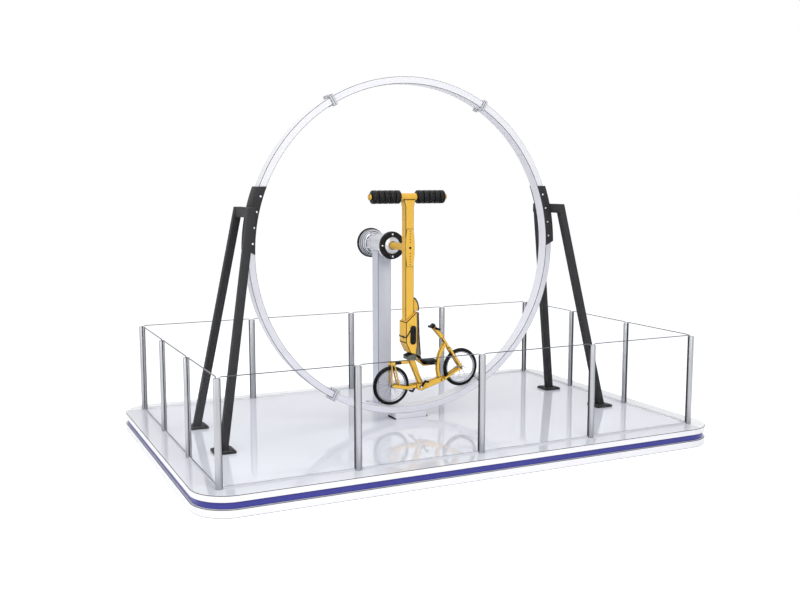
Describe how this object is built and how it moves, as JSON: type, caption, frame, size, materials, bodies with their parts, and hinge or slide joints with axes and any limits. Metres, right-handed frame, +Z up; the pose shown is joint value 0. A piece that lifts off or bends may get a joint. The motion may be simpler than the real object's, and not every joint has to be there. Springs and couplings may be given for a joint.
{
  "type": "looping ring bicycle exhibit",
  "caption": "Bicycle on a counterweighted swing arm that runs round the inside of a tall upright ring, standing on a platform with a glass fence.",
  "frame": {"origin": "centre of the platform's underside, on the floor, straight below the hub line's place in the ring", "axes": "+X along the platform's long side, the way the bicycle faces; +Y towards the column; +Z up"},
  "size_m": [6.466, 4.245, 4.4928],
  "materials": {
    "white_panel": "gloss",
    "blue_band": "satin",
    "stainless": "satin",
    "clear_glass": "clear",
    "grey_steel": "satin",
    "ring_white": "gloss",
    "column_grey": "satin",
    "bright_metal": "satin",
    "yellow_paint": "gloss",
    "black_steel": "satin",
    "shell_grey": "satin",
    "pad_black": "matt",
    "tyre_black": "matt",
    "grip_rubber": "matt"
  },
  "bodies": {
    "stand": {"column": "column_grey", "column_base": "column_grey", "fence_bottom_rails": "stainless", "fence_glass": "clear_glass", "fence_posts": "stainless", "foot_plates": "grey_steel", "hub_front_ring": "black_steel", "hub_housing": "bright_metal", "hub_rear_disc": "black_steel", "left_stand": "grey_steel", "platform_band": "blue_band", "platform_base": "white_panel", "platform_deck": "white_panel", "right_stand": "grey_steel", "ring_bottom": "ring_white", "ring_brackets": "grey_steel", "ring_left": "ring_white", "ring_right": "ring_white", "ring_shoe": "ring_white", "ring_top": "ring_white"},
    "swing_arm": {"hub_shaft": "yellow_paint", "arm_beam": "yellow_paint", "arm_brace_plate": "yellow_paint", "counterweight_bar": "yellow_paint", "counterweights": "black_steel", "seat_housing": "yellow_paint", "side_pads": "pad_black", "seat_shell": "shell_grey", "back_pad": "pad_black", "head_pad": "pad_black", "head_support": "yellow_paint", "seat_tray": "black_steel", "seat_block": "grey_steel", "saddle": "pad_black", "saddle_support": "yellow_paint", "bike_main_frame": "yellow_paint", "bike_rear_frame": "yellow_paint", "bike_front_fork": "yellow_paint", "bike_front_stays": "yellow_paint", "rear_axle": "bright_metal", "front_axle": "bright_metal", "stem_cap": "black_steel", "handlebar": "black_steel", "grips": "grip_rubber"},
    "rear_wheel": {"rear_tyre": "tyre_black", "rear_spoked_rim": "bright_metal"},
    "front_wheel": {"front_tyre": "tyre_black", "front_spoked_rim": "bright_metal"},
    "crank": {"crank_set": "black_steel", "pedals": "grip_rubber"}
  },
  "joints": [
    {"name": "arm_swing", "type": "hinge", "parent": "stand", "child": "swing_arm", "pos_m": [0, 0, 2.393], "axis": [0, -1, 0], "continuous": true},
    {"name": "rear_wheel_spin", "type": "hinge", "parent": "swing_arm", "child": "rear_wheel", "pos_m": [-0.237, 0, 0.64802], "axis": [0, 1, 0], "continuous": true},
    {"name": "front_wheel_spin", "type": "hinge", "parent": "swing_arm", "child": "front_wheel", "pos_m": [0.764, 0, 0.80636], "axis": [0, 1, 0], "continuous": true},
    {"name": "crank_spin", "type": "hinge", "parent": "swing_arm", "child": "crank", "pos_m": [0.16, 0, 0.601], "axis": [0, 1, 0], "continuous": true}
  ]
}
